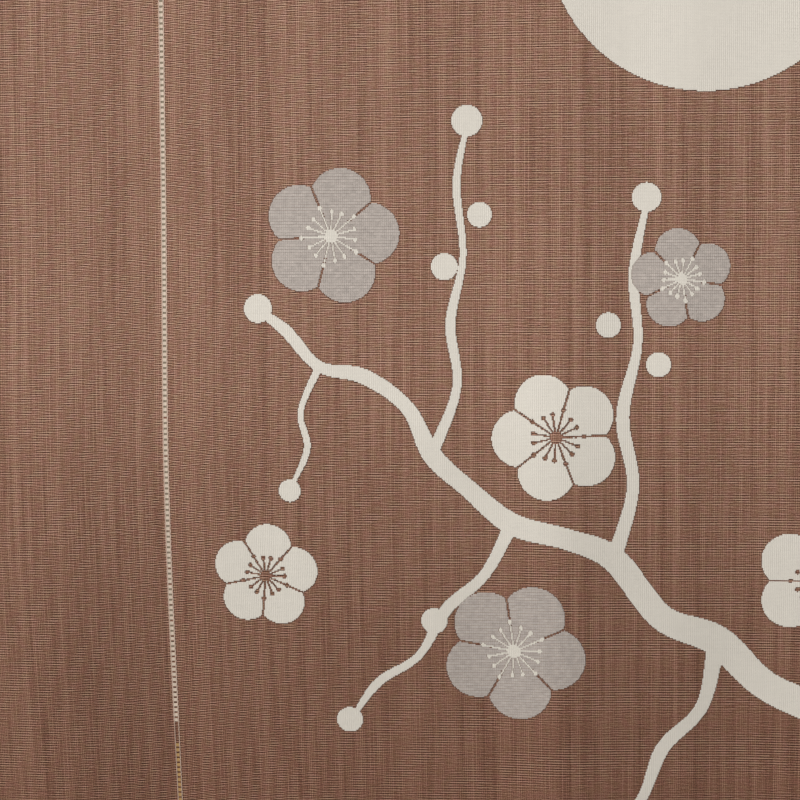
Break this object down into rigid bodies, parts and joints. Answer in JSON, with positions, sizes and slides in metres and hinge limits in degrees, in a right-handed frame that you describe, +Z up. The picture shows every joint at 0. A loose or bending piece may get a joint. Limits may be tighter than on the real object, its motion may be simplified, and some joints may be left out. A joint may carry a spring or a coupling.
{
  "type": "noren curtain",
  "caption": "Split doorway curtain in jacquard cloth, hung from a rod pocket across its top edge, slit up the middle and falling in soft uneven folds.",
  "frame": {"origin": "middle of the top edge, where the rod pocket hangs", "axes": "+Z up, +X across to the right as seen from the front, -Y towards the viewer in front"},
  "size_m": [0.85, 0.0454, 1.4974],
  "materials": {
    "woven_cloth": "matte ribbed jacquard weave"
  },
  "bodies": {
    "root": {"curtain_cloth": "woven_cloth"}
  },
  "joints": []
}
